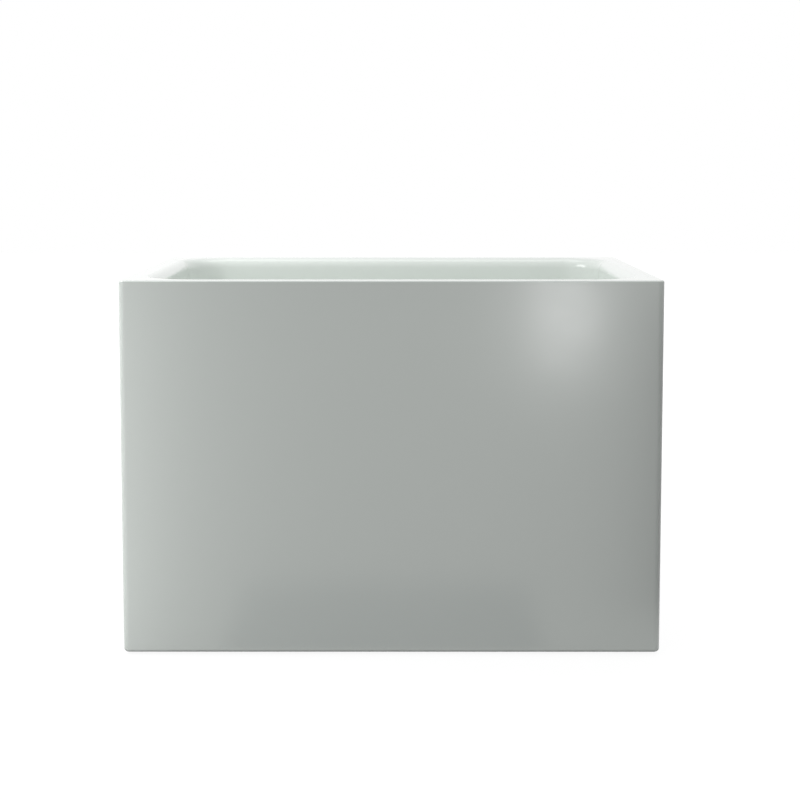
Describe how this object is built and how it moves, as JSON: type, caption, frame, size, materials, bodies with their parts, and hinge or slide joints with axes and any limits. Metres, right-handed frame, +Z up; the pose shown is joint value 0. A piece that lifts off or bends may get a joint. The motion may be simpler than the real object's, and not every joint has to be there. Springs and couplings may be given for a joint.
{
  "type": "bathtub",
  "caption": "Small box-shaped acrylic soaking tub with double walls, a moulded seat, a steel frame on levelling feet and a rotary overflow that lifts the drain plug.",
  "frame": {"origin": "centre of the footprint at floor level", "axes": "+X along the tub from the seat end to the drain end, +Y from the front to the back, +Z up"},
  "size_m": [1, 0.7, 0.7],
  "materials": {
    "acrylic_white": "high gloss white acrylic",
    "softwood": "sawn softwood",
    "plywood": "plywood sheet",
    "frame_steel": "grey powder coat",
    "zinc_steel": "zinc plated",
    "black_plastic": "moulded black plastic",
    "chrome": "polished chrome plate",
    "waste_plastic": "moulded light grey plastic",
    "lever_plastic": "moulded grey plastic"
  },
  "bodies": {
    "tub": {"basin": "acrylic_white", "skirt": "acrylic_white", "rim_batten_front": "softwood", "rim_batten_back": "softwood", "rim_batten_left": "softwood", "rim_batten_right": "softwood", "base_board": "plywood", "seat_board": "plywood", "frame_rail_front": "frame_steel", "frame_rail_back": "frame_steel", "frame_end_rail_left": "frame_steel", "frame_end_rail_right": "frame_steel", "frame_seat_rail": "frame_steel", "frame_middle_rail": "frame_steel", "frame_drain_rail": "frame_steel", "corner_post_front_left": "frame_steel", "corner_post_front_right": "frame_steel", "corner_post_back_left": "frame_steel", "corner_post_back_right": "frame_steel", "seat_props": "frame_steel", "skirt_brackets": "frame_steel", "weld_nuts": "zinc_steel", "rail_end_caps": "black_plastic", "control_cable": "black_plastic", "drain_flange": "chrome", "overflow_ring": "chrome", "drain_body": "waste_plastic", "overflow_housing": "waste_plastic", "overflow_pipe": "waste_plastic"},
    "knob": {"overflow_knob": "chrome", "overflow_crank": "lever_plastic"},
    "plug": {"drain_plug": "chrome"},
    "lever": {"lift_lever": "lever_plastic"},
    "foot_front_left": {"levelling_foot_front_left": "zinc_steel"},
    "foot_front_right": {"levelling_foot_front_right": "zinc_steel"},
    "foot_back_left": {"levelling_foot_back_left": "zinc_steel"},
    "foot_back_right": {"levelling_foot_back_right": "zinc_steel"}
  },
  "joints": [
    {"name": "knob_turn", "type": "hinge", "parent": "tub", "child": "knob", "pos_m": [0.44502, 0, 0.605], "axis": [0.9986, 0, -0.0523], "range_deg": [0, 90]},
    {"name": "plug_lift", "type": "slide", "parent": "tub", "child": "plug", "axis": [0, 0, 1], "range_m": [0, 0.008]},
    {"name": "lever_swing", "type": "hinge", "parent": "tub", "child": "lever", "pos_m": [0.30287, 0, 0.081], "axis": [0, -1, 0], "range_deg": [0, 27.2]},
    {"name": "foot_front_left_screw", "type": "slide", "parent": "tub", "child": "foot_front_left", "axis": [0, 0, 1], "range_m": [-0.015, 0.004]},
    {"name": "foot_front_right_screw", "type": "slide", "parent": "tub", "child": "foot_front_right", "axis": [0, 0, 1], "range_m": [-0.015, 0.004]},
    {"name": "foot_back_left_screw", "type": "slide", "parent": "tub", "child": "foot_back_left", "axis": [0, 0, 1], "range_m": [-0.015, 0.004]},
    {"name": "foot_back_right_screw", "type": "slide", "parent": "tub", "child": "foot_back_right", "axis": [0, 0, 1], "range_m": [-0.015, 0.004]}
  ],
  "couplings": [
    {"joint": "plug_lift", "follows": "knob_turn", "m_per_rad": 0.0050866},
    {"joint": "lever_swing", "follows": "knob_turn", "ratio": 0.3022}
  ]
}
